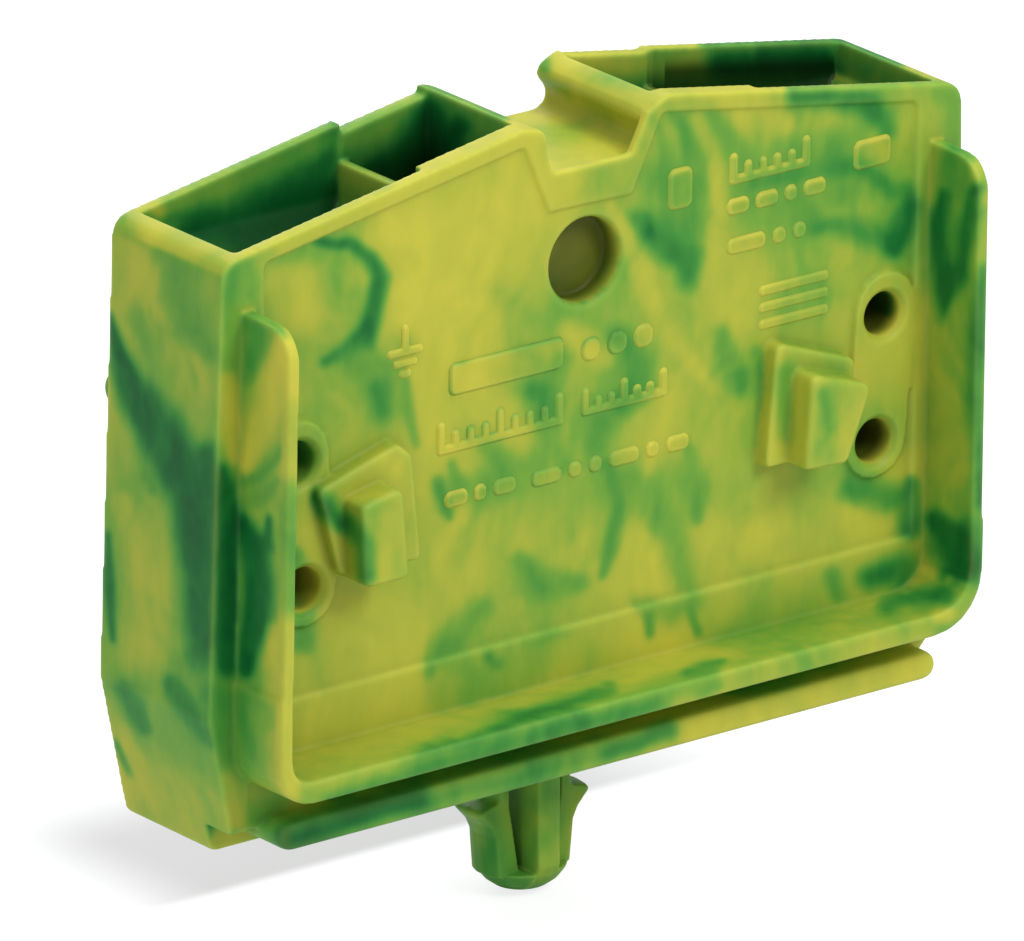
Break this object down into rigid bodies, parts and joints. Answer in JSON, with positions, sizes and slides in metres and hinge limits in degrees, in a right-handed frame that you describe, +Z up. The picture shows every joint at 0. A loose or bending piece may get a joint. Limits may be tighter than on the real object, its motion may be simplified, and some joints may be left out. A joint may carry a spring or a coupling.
{
  "type": "terminal block",
  "caption": "Stackable two-conductor spring terminal block with a marbled moulded housing, sprung wire clamps, coupling pegs and a snap-in panel foot.",
  "frame": {"origin": "at mid length, where the back stacking plane meets the plane of the panel the block stands on; the snap foot's axis is 2.32 mm in front of it", "axes": "+Z up, away from the panel; +X along the block's length; +Y out of the open back, the direction blocks stack in, so the closed front faces -Y"},
  "size_m": [0.032, 0.0125, 0.0283],
  "materials": {
    "green_yellow_polyamide": "semi-gloss moulded polyamide, green and yellow marbled through",
    "tinned_copper": "satin tinned copper strip",
    "spring_steel": "bright rolled stainless spring strip"
  },
  "bodies": {
    "block": {"housing": "green_yellow_polyamide", "current_bar": "tinned_copper", "left_clamp_spring": "spring_steel", "right_clamp_spring": "spring_steel"},
    "left_clamp": {"left_clamp_leg": "spring_steel"},
    "right_clamp": {"right_clamp_leg": "spring_steel"},
    "left_barb": {"left_foot_barb": "green_yellow_polyamide"},
    "right_barb": {"right_foot_barb": "green_yellow_polyamide"}
  },
  "joints": [
    {"name": "left_clamp_opening", "type": "hinge", "parent": "block", "child": "left_clamp", "pos_m": [-0.0046, -0.0036, 0.0072], "axis": [0, -1, 0], "range_deg": [0, 22]},
    {"name": "right_clamp_opening", "type": "hinge", "parent": "block", "child": "right_clamp", "pos_m": [0.0046, -0.0036, 0.0072], "axis": [0, 1, 0], "range_deg": [0, 22]},
    {"name": "left_barb_flex", "type": "hinge", "parent": "block", "child": "left_barb", "pos_m": [-0.00102, -0.00232, -0.00422], "axis": [0, 1, 0], "range_deg": [0, 10]},
    {"name": "right_barb_flex", "type": "hinge", "parent": "block", "child": "right_barb", "pos_m": [0.00102, -0.00232, -0.00422], "axis": [0, -1, 0], "range_deg": [0, 10]}
  ]
}
